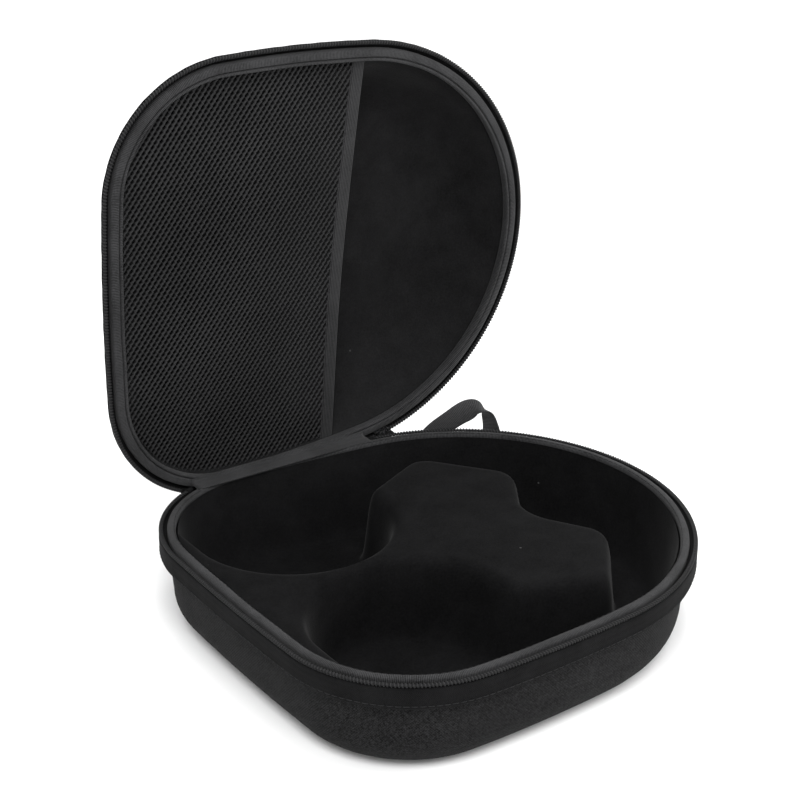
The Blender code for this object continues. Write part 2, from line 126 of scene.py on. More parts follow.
def to_open(points):
    """Turn closed-lid millimetre points to the open pose."""
    u, w = points[..., 1] - HINGE[1], points[..., 2] - HINGE[2]
    out = points.copy()
    out[..., 1] = HINGE[1] + u * cos(OPEN) + w * sin(OPEN)
    out[..., 2] = HINGE[2] - u * sin(OPEN) + w * cos(OPEN)
    return out


# ------------------------------------------------------------------ meshes

def make(name, points, faces, uv=None, body=None, finish=None, node=(), slot=None, lid=False):
    """A mesh from millimetre points; faces are index rows; uv has a millimetre (u, v) per face corner."""
    points = np.asarray(points, float)
    if lid:
        points = to_open(points)
    faces = [np.asarray(block, np.int64) for block in (faces if isinstance(faces, list) else [faces])]
    mesh = bpy.data.meshes.new(name)
    mesh.vertices.add(len(points))
    mesh.vertices.foreach_set("co", (points * MM).ravel())
    corners = np.concatenate([block.ravel() for block in faces])
    sizes = np.concatenate([np.full(len(block), block.shape[1]) for block in faces])
    starts = np.concatenate([[0], np.cumsum(sizes)[:-1]])
    mesh.loops.add(len(corners))
    mesh.loops.foreach_set("vertex_index", corners)
    mesh.polygons.add(len(sizes))
    mesh.polygons.foreach_set("loop_start", starts)
    mesh.polygons.foreach_set("loop_total", sizes)
    if uv is not None:
        layer = mesh.uv_layers.new(name="Cloth")
        layer.uv.foreach_set("vector", np.asarray(uv, float).ravel())
    mesh.update(calc_edges=True)
    mesh.validate()
    made = bpy.data.objects.new(name, mesh)
    bpy.context.scene.collection.objects.link(made)
    mesh.shade_smooth()
    if finish is not None:
        mesh.materials.append(finish)
    if node:
        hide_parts(*([node] if isinstance(node, str) else node))
    if body:
        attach(made, body)
    return made


def lattice(rows, closed_u, closed_v, u=None, v=None):
    """Quads and corner uvs over an array of points (nu, nv, 3)."""
    nu, nv = rows.shape[:2]
    i = np.arange(nu if closed_u else nu - 1)[:, None]
    j = np.arange(nv if closed_v else nv - 1)[None, :]
    i2, j2 = (i + 1) % nu, (j + 1) % nv
    quads = np.stack([i * nv + j, i2 * nv + j, i2 * nv + j2, i * nv + j2], -1).reshape(-1, 4)
    if u is None:
        return quads, None
    u = np.append(u, u[-1] + (u[1] - u[0]))
    v = np.append(v, v[-1] + (v[1] - v[0])) if len(v) == nv else v
    grid = np.stack([
        np.stack(np.broadcast_arrays(u[i], v[j]), -1),
        np.stack(np.broadcast_arrays(u[i + 1], v[j]), -1),
        np.stack(np.broadcast_arrays(u[i + 1], v[j + 1]), -1),
        np.stack(np.broadcast_arrays(u[i], v[j + 1]), -1),
    ], 2)
    return quads, grid.reshape(-1, 2)


def smooth_rows(rows, step):
    """Resample a (offset, height) profile through Catmull-Rom arcs, about one point per step."""
    rows = np.asarray(rows, float)
    ends = np.vstack([2 * rows[0] - rows[1], rows, 2 * rows[-1] - rows[-2]])
    out = []
    for a, b, c, d in zip(ends, ends[1:], ends[2:], ends[3:]):
        count = max(1, int(np.ceil(np.linalg.norm(c - b) / step)))
        for t in np.arange(count) / count:
            out.append(
                0.5 * ((2 * b) + (c - a) * t + (2 * a - 5 * b + 4 * c - d) * t * t
                + (3 * b - a - 3 * c + d) * t ** 3))
    return np.array(out + [rows[-1]])


def curve_through(points, count):
    """Points along a Catmull-Rom curve through the given ones, count to a stretch."""
    ends = np.vstack([2 * points[0] - points[1], points, 2 * points[-1] - points[-2]])
    out = []
    for a, b, c, d in zip(ends, ends[1:], ends[2:], ends[3:]):
        for t in np.arange(count) / count:
            bend = (2 * a - 5 * b + 4 * c - d) * t ** 2 + (3 * b - a - 3 * c + d) * t ** 3
            out.append((2 * b + (c - a) * t + bend) / 2)
    return np.array(out + [points[-1]])


def line_rows(rows, step):
    """Resample a profile along straight lines, about one point per step."""
    rows = np.asarray(rows, float)
    out = []
    for b, c in zip(rows, rows[1:]):
        count = max(1, int(np.ceil(np.linalg.norm(c - b) / step)))
        out += [b + (c - b) * t for t in np.arange(count) / count]
    return np.array(out + [rows[-1]])


def squared(count, width, width_power, height, height_power):
    """A closed profile between an ellipse and a rectangle; lower powers are squarer."""
    return [(width * np.sign(cos(q)) * abs(cos(q)) ** width_power,
             height * np.sign(sin(q)) * abs(sin(q)) ** height_power)
            for q in np.arange(count) * pi / (count // 2)]


def waver(seed):
    """The zip tape's slight unevenness along its run."""
    def amount(s, v, run):
        return waves(s, run.length, (31, 47, 83), seed) * 0.07, 0
    return amount


def travel(rows):
    """Distance along a profile to each of its rows."""
    return np.concatenate([[0], np.cumsum(np.linalg.norm(np.diff(rows, axis=0), axis=1))])


def waves(s, length, periods, seed):
    """A smooth random wave along a run, from -1 to 1, that closes on itself."""
    local = np.random.default_rng(seed)
    total = np.zeros_like(s)
    for count in periods:
        total += local.normal() * np.sin(2 * pi * (count * s / length + local.random()))
    return total / (1.6 * len(periods) ** 0.5)


def swept(name, run, rows, amount=None, closed_profile=False, cap=None, **kw):
    """A profile of (offset, height) rows run along stations. amount(s, v) gives extra (offset, height)."""
    rows = np.asarray(rows, float)
    v = travel(rows)
    points = np.zeros((len(run.s), len(rows), 3))
    for j, (n, z) in enumerate(rows):
        dn, dz = amount(run.s, v[j], run) if amount else (0, 0)
        points[:, j] = run.place(n + dn, z + dz)
    u = run.s
    if closed_profile:
        v = np.append(v, v[-1] + np.linalg.norm(rows[0] - rows[-1]))
    quads, uv = lattice(points, run.closed, closed_profile, u, v)
    flat = points.reshape(-1, 3)
    faces = [quads]
    if cap is not None:
        flat, extra, extra_uv = fill(flat, len(run.s), len(rows), cap)
        faces += extra
        uv = np.vstack([uv, extra_uv])
    if not run.closed and closed_profile:
        count = len(rows)
        ends = np.array([np.arange(count), (len(run.s) - 1) * count + np.arange(count)[::-1]])
        faces.append(ends)
        uv = np.vstack([uv, np.zeros((2 * count, 2))])
    return make(name, flat, faces, uv, **kw)


def fill(flat, nu, nv, crown):
    """Close the last row of a closed loft with rings that shrink to its middle, rising by crown."""
    last = flat.reshape(nu, nv, 3)[:, -1]
    middle = last.mean(0)
    rings, count = [], 14
    for k in range(1, count):
        t = k / count
        ring = middle + (last - middle) * (1 - t)
        ring[:, 2] = last[:, 2] + crown * (1 - (1 - t) ** 2)
        rings.append(ring)
    tip = middle.copy()
    tip[2] += crown
    base = len(flat)
    out = np.vstack([flat] + rings + [tip[None]])
    index = [np.arange(nu) * nv + nv - 1] + [base + k * nu + np.arange(nu) for k in range(count - 1)]
    quads = [np.stack([a, np.roll(a, -1), np.roll(b, -1), b], 1) for a, b in zip(index, index[1:])]
    point = len(out) - 1
    quads = np.vstack(quads)
    tips = np.stack([index[-1], np.roll(index[-1], -1), np.full(nu, point)], 1)
    uv = out[np.concatenate([quads.ravel(), tips.ravel()])][:, :2]
    return out, [quads, tips], uv


# ------------------------------------------------------------------ materials

def shader(name, colour, roughness, metallic=0.0, sheen=0.0, sheen_rough=0.5, specular=0.5):
    made = bpy.data.materials.new(name)
    made.use_nodes = True
    tree = made.node_tree
    main = tree.nodes["Principled BSDF"]
    main.inputs["Base Color"].default_value = (*colour, 1)
    main.inputs["Roughness"].default_value = roughness
    main.inputs["Metallic"].default_value = metallic
    main.inputs["Sheen Weight"].default_value = sheen
    main.inputs["Sheen Roughness"].default_value = sheen_rough
    main.inputs["Specular IOR Level"].default_value = specular
    made.diffuse_color = (*colour, 1)
    return made, tree, main


def node(tree, kind, values=None, **settings):
    made = tree.nodes.new("ShaderNode" + kind)
    for key, value in settings.items():
        setattr(made, key, value)
    for key, value in (values or {}).items():
        if isinstance(value, bpy.types.NodeSocket):
            tree.links.new(value, made.inputs[key])
        else:
            made.inputs[key].default_value = value
    return made


def noise(tree, where, scale, detail=3.0, roughness=0.6):
    values = {"Vector": where, "Scale": scale, "Detail": detail, "Roughness": roughness}
    return node(tree, "TexNoise", values).outputs["Fac"]


def math(tree, operation, a, b=0.5):
    return node(tree, "Math", {0: a, 1: b}, operation=operation).outputs[0]


def ramp(tree, value, stops):
    made = node(tree, "ValToRGB", {"Fac": value})
    elements = made.color_ramp.elements
    for element, (place, shade) in zip(elements, stops):
        element.position = place
        element.color = (*(shade if hasattr(shade, "__len__") else (shade,) * 3), 1)
    return made.outputs["Color"]


def blend_colour(tree, factor, a, b):
    made = node(tree, "Mix", data_type="RGBA", blend_type="MIX")
    for key, value in (("Factor", factor), ("A", a), ("B", b)):
        sockets = [x for x in made.inputs if x.name == key and x.enabled]
        if isinstance(value, bpy.types.NodeSocket):
            tree.links.new(value, sockets[0])
        else:
            sockets[0].default_value = value if key == "Factor" else (*value, 1)
    return [x for x in made.outputs if x.enabled][0]


def place_nodes(tree):
    """Object coordinates, and the cloth's own u and v in millimetres."""
    where = node(tree, "TexCoord").outputs["Object"]
    uv = node(tree, "UVMap", uv_map="Cloth")
    parts = node(tree, "SeparateXYZ", {"Vector": uv.outputs[0]})
    return where, parts.outputs["X"], parts.outputs["Y"]


def bump(tree, main, height, strength, distance):
    made = node(tree, "Bump", {"Height": height, "Strength": strength, "Distance": distance})
    tree.links.new(made.outputs[0], main.inputs["Normal"])


def ridges(tree, value, pitch, sharp=1.0, phase=None):
    """0 to 1 ridges of a pitch in the value's unit."""
    turned = math(tree, "MULTIPLY", value, 2 * pi / pitch)
    if phase is not None:
        turned = math(tree, "ADD", turned, phase)
    wave = math(tree, "SINE", turned, 0)
    half = math(tree, "MULTIPLY_ADD", wave, 0.5)
    half.node.inputs[2].default_value = 0.5
    return math(tree, "POWER", half, sharp) if sharp != 1.0 else half


def weave_cloth(name, low, high, pitch=0.62, roughness=0.85, sheen=0.02, depth=0.0002, specular=0.04):
    """A plain weave of matt yarn, with speckled yarn colour."""
    made, tree, main = shader(name, high, roughness, sheen=sheen, specular=specular)
    where, u, v = place_nodes(tree)
    wander = noise(tree, where, 900, 2)
    shift = math(tree, "MULTIPLY", wander, 1.6)
    warp = ridges(tree, u, pitch * 2, 1.0, shift)
    weft = ridges(tree, v, pitch * 2, 1.0, shift)
    warp2 = ridges(tree, u, pitch, 0.8)
    weft2 = ridges(tree, v, pitch, 0.8)
    over = math(tree, "ABSOLUTE", math(tree, "SUBTRACT", warp, weft), 0)
    knit = math(tree, "MULTIPLY", math(tree, "MAXIMUM", warp2, weft2), over)
    grain = noise(tree, where, 1500, 2, 0.7)
    speck = noise(tree, where, 800, 3, 0.7)
    cloud = noise(tree, where, 35, 3, 0.5)
    tone = math(tree, "ADD", math(tree, "MULTIPLY", grain, 0.45), math(tree, "MULTIPLY", speck, 0.55))
    tone = math(tree, "ADD", tone, math(tree, "MULTIPLY", knit, 0.1))
    tone = math(tree, "ADD", tone, math(tree, "MULTIPLY", cloud, 0.12))
    colour = ramp(tree, tone, [(0.48, low), (0.76, high)])
    tree.links.new(colour, main.inputs["Base Color"])
    height = math(tree, "ADD", math(tree, "MULTIPLY", knit, 0.7), math(tree, "MULTIPLY", grain, 0.5))
    bump(tree, main, height, 0.9, depth)
    rough = math(tree, "MULTIPLY_ADD", speck, 0.12)
    rough.node.inputs[2].default_value = roughness - 0.06
    tree.links.new(rough, main.inputs["Roughness"])
    return made


def flock(name, low, high, sheen=0.06, lint=0.0):
    """Short pile: soft patches where it leans, a fine nap, and a few specks of lint."""
    made, tree, main = shader(name, high, 0.95, sheen=sheen, sheen_rough=0.35, specular=0.04)
    where = node(tree, "TexCoord").outputs["Object"]
    nap = noise(tree, where, 1300, 3, 0.8)
    lean = noise(tree, where, 70, 4, 0.65)
    wide = noise(tree, where, 14, 2, 0.5)
    tone = math(tree, "ADD", math(tree, "MULTIPLY", nap, 0.5), math(tree, "MULTIPLY", lean, 0.3))
    tone = math(tree, "ADD", tone, math(tree, "MULTIPLY", wide, 0.2))
    colour = ramp(tree, tone, [(0.36, low), (0.66, high)])
    if lint:
        cells = node(tree, "TexVoronoi", {"Vector": where, "Scale": 95.0, "Randomness": 1.0})
        fleck = math(tree, "LESS_THAN", cells.outputs["Distance"], 0.045)
        chance = node(tree, "SeparateColor", {"Color": cells.outputs["Color"]}).outputs[0]
        rare = math(tree, "GREATER_THAN", chance, 0.82)
        fluff = math(tree, "MULTIPLY", math(tree, "MULTIPLY", fleck, rare), lint)
        colour = blend_colour(tree, fluff, colour, (0.05, 0.05, 0.05))
    tree.links.new(colour, main.inputs["Base Color"])
    height = math(tree, "ADD", math(tree, "MULTIPLY", nap, 0.6), math(tree, "MULTIPLY", lean, 0.9))
    bump(tree, main, height, 0.6, 0.00022)
    return made


def ribbed(name, low, high, rib=0.75, along=True, roughness=0.66, sheen=0.05, depth=0.00018, specular=0.09):
    """Grosgrain ribbon or webbing: cross ribs, fine yarn and small shade changes."""
    made, tree, main = shader(name, high, roughness, sheen=sheen, specular=specular)
    where, u, v = place_nodes(tree)
    axis, cross = (u, v) if along else (v, u)
    wander = math(tree, "MULTIPLY", noise(tree, where, 260, 2), 0.9)
    ribs = ridges(tree, axis, rib, 0.7, wander)
    yarn = ridges(tree, cross, rib * 0.9, 0.8)
    grain = noise(tree, where, 1400, 2, 0.7)
    patch = noise(tree, where, 60, 4, 0.6)
    tone = math(tree, "ADD", math(tree, "MULTIPLY", ribs, 0.3), math(tree, "MULTIPLY", grain, 0.4))
    tone = math(tree, "ADD", tone, math(tree, "MULTIPLY", patch, 0.35))
    colour = ramp(tree, tone, [(0.42, low), (0.66, high)])
    tree.links.new(colour, main.inputs["Base Color"])
    height = math(
        tree, "ADD", math(tree, "MULTIPLY", ribs, 0.8),
        math(tree, "MULTIPLY", math(tree, "MULTIPLY", yarn, ribs), 0.4))
    height = math(tree, "ADD", height, math(tree, "MULTIPLY", grain, 0.3))
    bump(tree, main, height, 0.8, depth)
    return made


def herringbone(name, low, high):
    """Zip tape: a fine herringbone in rows along the tape."""
    made, tree, main = shader(name, high, 0.8, sheen=0.01, specular=0.03)
    where, u, v = place_nodes(tree)
    fold = math(tree, "PINGPONG", v, 1.5)
    slant = math(tree, "ADD", u, fold)
    twill = ridges(tree, slant, 0.8, 0.8)
    grain = noise(tree, where, 1500, 2, 0.7)
    patch = noise(tree, where, 80, 3)
    tone = math(tree, "ADD", math(tree, "MULTIPLY", twill, 0.3), math(tree, "MULTIPLY", grain, 0.45))
    tone = math(tree, "ADD", tone, math(tree, "MULTIPLY", patch, 0.3))
    colour = ramp(tree, tone, [(0.34, low), (0.8, high)])
    tree.links.new(colour, main.inputs["Base Color"])
    height = math(tree, "ADD", twill, math(tree, "MULTIPLY", grain, 0.4))
    bump(tree, main, height, 0.8, 0.0001)
    return made


def thread(name, colour):
    made, tree, main = shader(name, colour, 0.6, sheen=0.02, specular=0.06)
    where = node(tree, "TexCoord").outputs["Object"]
    fuzz = noise(tree, where, 2500, 2)
    shade = ramp(tree, fuzz, [(0.3, tuple(c * 0.7 for c in colour)), (0.7, tuple(c * 1.35 for c in colour))])
    tree.links.new(shade, main.inputs["Base Color"])
    bump(tree, main, fuzz, 0.5, 0.00008)
    return made


def net_yarn(name, low, high):
    """Knitted yarn, with painted highlight on the ribs' crowns and painted shade where the loops dip into the
    holes.
    """
    made, tree, main = shader(name, high, 0.55, sheen=0.02, specular=0.06)
    where = node(tree, "TexCoord").outputs["Object"]
    # Painted light and shade: this point attribute is bright on the ribs' crowns and dark toward the holes.
    crown = node(tree, "Attribute", attribute_name="painted_rib_light_shade").outputs["Fac"]
    fuzz = noise(tree, where, 2500, 2)
    wide = noise(tree, where, 22, 2)
    tone = math(tree, "ADD", math(tree, "MULTIPLY", crown, 0.78), math(tree, "MULTIPLY", fuzz, 0.22))
    tone = math(tree, "MULTIPLY", tone, math(tree, "MULTIPLY_ADD", wide, 0.6))
    tone.node.inputs[1].links[0].from_node.inputs[2].default_value = 0.7
    tree.links.new(ramp(tree, tone, [(0.18, low), (0.9, high)]), main.inputs["Base Color"])
    bump(tree, main, fuzz, 0.5, 0.00008)
    return made


def nylon(name, colour):
    made, tree, main = shader(name, colour, 0.42, specular=0.18)
    where = node(tree, "TexCoord").outputs["Object"]
    rub = noise(tree, where, 300, 3)
    shade = ramp(tree, rub, [(0.3, tuple(c * 0.75 for c in colour)), (0.72, tuple(c * 1.3 for c in colour))])
    tree.links.new(shade, main.inputs["Base Color"])
    rough = math(tree, "MULTIPLY_ADD", rub, 0.3)
    rough.node.inputs[2].default_value = 0.28
    tree.links.new(rough, main.inputs["Roughness"])
    bump(tree, main, noise(tree, where, 2200, 2), 0.25, 0.00004)
    return made


def painted_metal(name):
    """Black satin paint over cast zinc, worn brighter on its edges."""
    made, tree, main = shader(name, (0.02, 0.02, 0.021), 0.34, metallic=0.85, specular=0.5)
    where = node(tree, "TexCoord").outputs["Object"]
    edge = node(tree, "NewGeometry").outputs["Pointiness"]
    rub = noise(tree, where, 900, 4, 0.7)
    worn = math(
        tree, "MULTIPLY", math(tree, "GREATER_THAN", edge, 0.535), math(tree, "GREATER_THAN", rub, 0.52))
    colour = blend_colour(tree, worn, (0.025, 0.025, 0.026), (0.12, 0.12, 0.125))
    tree.links.new(colour, main.inputs["Base Color"])
    rough = math(tree, "MULTIPLY_ADD", rub, 0.3)
    rough.node.inputs[2].default_value = 0.22
    tree.links.new(rough, main.inputs["Roughness"])
    bump(tree, main, rub, 0.15, 0.00005)
    return made


SKIN = weave_cloth("case_skin", (0.0024, 0.0024, 0.0024), (0.0200, 0.0200, 0.0206))
RIBBON = ribbed("binding_ribbon", (0.003, 0.003, 0.0031), (0.037, 0.037, 0.0385), rib=0.7)
TAPE = herringbone("zip_tape", (0.0015, 0.0015, 0.0016), (0.011, 0.011, 0.0113))
FLOCK = flock("tray_flock", (0.0018, 0.0018, 0.0019), (0.0075, 0.0075, 0.0078), sheen=0.03, lint=0.8)
LINING = flock("lid_flock", (0.0038, 0.0038, 0.0039), (0.0122, 0.0122, 0.0126), sheen=0.09, lint=0.6)
COIL = nylon("zip_nylon", (0.012, 0.012, 0.0124))
THREAD = thread("sewing_thread", (0.012, 0.012, 0.0125))
# The net's colours run from painted shade at the holes to painted highlight on the ribs' crowns.
NET = net_yarn("net_yarn", (0.0012, 0.0012, 0.0012), (0.030, 0.030, 0.031))
WEBBING = ribbed("strap_webbing", (0.010, 0.010, 0.0103), (0.044, 0.044, 0.0455), rib=0.7, depth=0.00008)
METAL = painted_metal("slider_metal")

# ------------------------------------------------------------------ base

LOOP = full(1.5)


WALL_TOP, WALL_DRAFT = -0.75, 0.09
WALL_DEPTH, BOTTOM_ROUND = 28, 17
LUMP_SPACING = 9.0


def wall(depth):
    """How far the base's outside stands from the zip line at a depth."""
    return WALL_TOP - WALL_DRAFT * depth


def skin_lumps(seed, size=0.12):
    """Very slight unevenness of moulded foam under its cloth."""
    def amount(s, v, run):
        wave = waves(s, run.length, (5, 9, 14, 23), seed + int(v / LUMP_SPACING))
        wave2 = waves(s, run.length, (5, 9, 14, 23), seed + int(v / LUMP_SPACING) + 1)
        t = (v / LUMP_SPACING) % 1.0
        return (wave * (1 - t) + wave2 * t) * size, 0
    return amount


def base_skin():
    side = [(-2.3, -1.3), (-2.3, -11.0), (-2.0, -11.7), (wall(12.4), -12.4), (wall(20), -20.0),
            (wall(WALL_DEPTH), -WALL_DEPTH)]
    for step in range(1, 13):
        turn = radians(90 * step / 12)
        side.append(
            (wall(WALL_DEPTH) - BOTTOM_ROUND * (1 - cos(turn)), -WALL_DEPTH - BOTTOM_ROUND * sin(turn)))
    side = line_rows(side, 1.8)
    swept(
        "base_skin", LOOP, side, skin_lumps(3), cap=0.0, body="base", finish=SKIN, node="base_shell",
        slot="shell")


RECESS_X, RECESS_Y, RECESS_R = -46.6, 45.7, 42.6
ISLAND_SHIFT_Y = 3.2


def island_plan():
    """The island's outline: what the two ear-cup recesses leave, and a T towards the headband end."""
    left, right, near = RECESS_X - RECESS_R, RECESS_X + RECESS_R, RECESS_Y - RECESS_R
    half = [(-130, 140, 0), (left, 140, 0), (left, near, RECESS_R), (right, near, RECESS_R), (right, 52, 9),
            (33.5, 69.5, 12), (62.5, 33, 12)]
    corners = half + [(42, 0, 22)] + [(x, -y, r) for x, y, r in half[::-1]]
    points = []
    for i, (x, y, radius) in enumerate(corners):
        here = Vector((x, y))
        if radius == 0:
            points.append(here)
            continue
        before = (Vector(corners[i - 1][:2]) - here).normalized()
        after = (Vector(corners[(i + 1) % len(corners)][:2]) - here).normalized()
        half_angle = before.angle(after) / 2
        centre = here + (before + after).normalized() * (radius / sin(half_angle))
        first = here + before * (radius / tan(half_angle)) - centre
        last = here + after * (radius / tan(half_angle)) - centre
        turn = (pi - 2 * half_angle) * (1 if first.cross(last) > 0 else -1)
        count = max(8, int(abs(turn) * radius / 1.5))
        points += [centre + Matrix.Rotation(turn * k / count, 2) @ first for k in range(count + 1)]
    return np.array([[p.x, p.y + ISLAND_SHIFT_Y] for p in points])


def distance_to(points, line):
    """Distance from points to a closed polyline, and whether each is inside it."""
    a, b = line, np.roll(line, -1, 0)
    d = b - a
    best = np.full(len(points), 1e9)
    inside = np.zeros(len(points), bool)
    for p, q, e in zip(a, b, d):
        long = e @ e
        if long < 1e-9:
            continue
        t = np.clip(((points - p) @ e) / long, 0, 1)
        best = np.minimum(best, np.linalg.norm(points - p - t[:, None] * e, axis=1))
        if p[1] != q[1]:
            hit = (p[1] > points[:, 1]) != (q[1] > points[:, 1])
            cross = (q[0] - p[0]) * (points[:, 1] - p[1]) / (q[1] - p[1]) + p[0]
            inside ^= hit & (points[:, 0] < cross)
    return best, inside


WALL_N = [-22.0, -19.5, -17.0, -15.0, -13.4, -12.0, -10.9, -9.7, -8.6, -7.6, -6.9, -6.3, -5.95, -5.8]
WALL_Z = [-40.5, -40.4, -40.0, -39.2, -37.6, -35.0, -31.5, -26.0, -20.0, -14.0, -9.0, -5.0, -3.0, -1.6]


def tray():
    """The flocked insert: a field of heights for the floor and the island, and a smooth wall round it."""
    step = 0.8
    xs, ys = np.arange(-98, 98, step), np.arange(-92, 92, step)
    gx, gy = np.meshgrid(xs, ys, indexing="ij")
    flat = np.stack([gx.ravel(), gy.ravel()], 1)
    zip_line = full(2.0)
    reach, inside = distance_to(flat, zip_line.point)
    n = np.where(inside, -reach, reach)
    gap, within = distance_to(flat, island_plan())
    d = np.where(within, -gap, gap)
    z_wall = np.interp(n - 0.6, WALL_N, WALL_Z) - 0.3
    top = -3.4 + 0.5 * np.clip(-d / 22, 0, 1)
    fall = np.interp(d, [-6.0, -4.8, -3.6, -2.6, -1.7, -1.0, -0.4, 0.2, 0.9, 2.0, 3.1, 3.9, 5.2, 7.0, 9.5],
                     [0.0, 0.1, 0.38, 0.85, 1.55, 2.5, 3.8, 5.9, 9.8, 20.5, 30.0, 33.4, 35.6, 36.5, 36.9])
    z_top = top - fall
    z = np.maximum(z_wall, z_top)
    blend_k = 1.2
    z = z + blend_k * np.log(np.exp((z_wall - z) / blend_k) + np.exp((z_top - z) / blend_k)) * (d > 0.5) * 0.5
    keep = (n < -5.2).reshape(gx.shape)
    index = np.arange(gx.size).reshape(gx.shape)
    cell = keep[:-1, :-1] & keep[1:, :-1] & keep[1:, 1:] & keep[:-1, 1:]
    quads = np.stack([index[:-1, :-1], index[1:, :-1], index[1:, 1:], index[:-1, 1:]], -1)[cell]
    points = np.concatenate([flat, (RIM + z)[:, None]], 1)
    used = np.unique(quads)
    renumber = np.zeros(len(points), np.int64)
    renumber[used] = np.arange(len(used))
    uv = points[quads.ravel()][:, :2]
    make(
        "tray_floor", points[used], renumber[quads], uv, body="base", finish=FLOCK, node="base_tray",
        slot="velvet")
    rows = np.stack([WALL_N, WALL_Z], 1)[::-1]
    swept(
        "tray_wall", LOOP, smooth_rows(rows, 1.5), skin_lumps(20, 0.15), body="base", finish=FLOCK,
        slot="velvet")


BASE_RIM = [(-2.0, 3.9), (-1.45, 3.8), (-1.3, 2.6), (-1.35, 1.4), (-1.7, 0.65), (-2.4, 0.28), (-3.3, 0.15),
            (-4.2, 0.3), (-4.8, 0.8), (-5.05, 1.6), (-5.05, 2.6), (-4.9, 3.3), (-4.5, 3.4)]
LID_RIM = [(-2.0, 3.9), (-1.45, 3.8), (-1.3, 2.6), (-1.35, 1.4), (-1.8, 0.6), (-2.8, 0.22), (-3.9, 0.12),
           (-4.7, 0.26), (-5.2, 1.15), (-5.6, 0.3), (-6.2, 0.16), (-6.7, 0.6), (-6.85, 1.6), (-6.8, 3.0),
           (-6.5, 3.7), (-6.2, 3.7)]


def binding_rows(side):
    rows = smooth_rows(LID_RIM if side > 0 else BASE_RIM, 0.4)
    rows[:, 1] *= side
    return rows


def puckers(side, seed):
    """The ribbon's small cross creases between stitches, and its slow wander."""
    def amount(s, v, run):
        crease = waves(s, run.length, (61, 97, 143, 171, 223), seed)
        slow = waves(s, run.length, (7, 11, 19), seed + 5)
        edge = np.exp(-((v - 6.6) / 2.2) ** 2)
        return slow * 0.12 * (v > 6), side * (crease * 0.11 * edge + slow * 0.06)
    return amount


def stitches(name, run, n, z, body, lid=False, pitch=3.0, long=2.3, radius=0.2, normal=(0.0, 1.0)):
    """A row of lockstitches: short threads that dip into the cloth at each end."""
    count = int(run.length / pitch)
    ring = 6
    stations = [run.s[0] + (k + 0.5) * pitch for k in range(count)]
    fine = np.interp
    px, py = run.point[:, 0], run.point[:, 1]
    qx, qy = run.normal[:, 0], run.normal[:, 1]
    points, quads = [], []
    steps = np.linspace(-0.5, 0.5, 5)
    for centre in stations:
        s = centre + steps * long
        base = np.stack([fine(s, run.s, px), fine(s, run.s, py)], 1)
        out = np.stack([fine(s, run.s, qx), fine(s, run.s, qy)], 1)
        arch = 1 - (2 * steps) ** 4
        start = len(points) * 5 * ring
        rows = []
        for k in range(5):
            lift = (arch[k] * 1.0 - 0.75) * radius
            for m in range(ring):
                turn = 2 * pi * m / ring
                dn = n + normal[0] * lift + radius * cos(turn)
                dz = z + normal[1] * lift + radius * sin(turn)
                flat = base[k] + out[k] * dn
                rows.append((flat[0], flat[1], RIM + dz))
        points.append(rows)
        for k in range(4):
            for m in range(ring):
                here, there = start + k * ring, start + (k + 1) * ring
                after = (m + 1) % ring
                quads.append([here + m, here + after, there + after, there + m])
    quads = np.array(quads)
    make(
        name, np.array(points).reshape(-1, 3), quads, np.zeros((quads.size, 2)), body=body, finish=THREAD,
        slot="ribbon", lid=lid)


COIL_PITCH, COIL_N, COIL_Z = 1.37, 1.2, 1.42
STOP_LENGTH = 3.0


def coil(name, side, body, lid=False, nodes=()):
    """The zip's nylon coil: a flattened helix sewn along the tape, wound on a core cord."""
    run = Run(ZIP_ARCS, COIL_PITCH / 12, start=3.4, stop=3.4)
    turn = 2 * pi * run.s / COIL_PITCH
    tilt = np.cos(turn)
    n = COIL_N + 0.72 * np.sin(turn)
    z = side * (COIL_Z - 0.62 * tilt)
    centre = run.place(n, z)
    along = np.gradient(centre, axis=0)
    along /= np.linalg.norm(along, axis=1)[:, None]
    up = np.array([0.0, 0.0, 1.0])
    across = np.cross(along, up)
    across /= np.linalg.norm(across, axis=1)[:, None]
    other = np.cross(across, along)
    ring = 5
    angles = [2 * pi * k / ring for k in range(ring)]
    rows = np.stack([centre + 0.34 * (cos(a) * across + sin(a) * other) for a in angles], 1)
    quads, _ = lattice(rows, False, True)
    make(
        name, rows.reshape(-1, 3), quads, np.zeros((quads.size, 2)), body=body, finish=COIL, node=nodes,
        slot="coil", lid=lid)
    core = Run(ZIP_ARCS, 2.0, start=3.2, stop=3.2)
    tube = [(COIL_N + 0.62 * cos(a), side * (COIL_Z + 0.5 * sin(a))) for a in np.arange(8) * pi / 4]
    swept(name + "_core", core, tube, closed_profile=True, body=body, finish=THREAD, slot="tape", lid=lid)


def end_stops(prefix, side, body, lid=False):
    """The moulded blocks that end the zip, with a waist where they grip the coil."""
    whole = sum(radius * radians(b - a) for _, radius, a, b in ZIP_ARCS)
    for label, start, stop in (("left", 0.0, whole - STOP_LENGTH), ("right", whole - STOP_LENGTH, 0.0)):
        run = Run(ZIP_ARCS, 0.3, start=start, stop=stop)
        loop = [(COIL_N + n, side * (1.4 + z)) for n, z in squared(16, 1.05, 0.5, 0.9, 0.5)]

        def waist(s, v, r):
            t = s / r.length
            pinch = 0.12 * np.sin(2 * pi * t) ** 2
            return -pinch, side * pinch * 0.5
        swept(
            f"{prefix}_stop_{label}_block", run, loop, waist, closed_profile=True, body=body, finish=TAPE,
            node=f"{prefix}_stop_{label}", slot="tape", lid=lid)


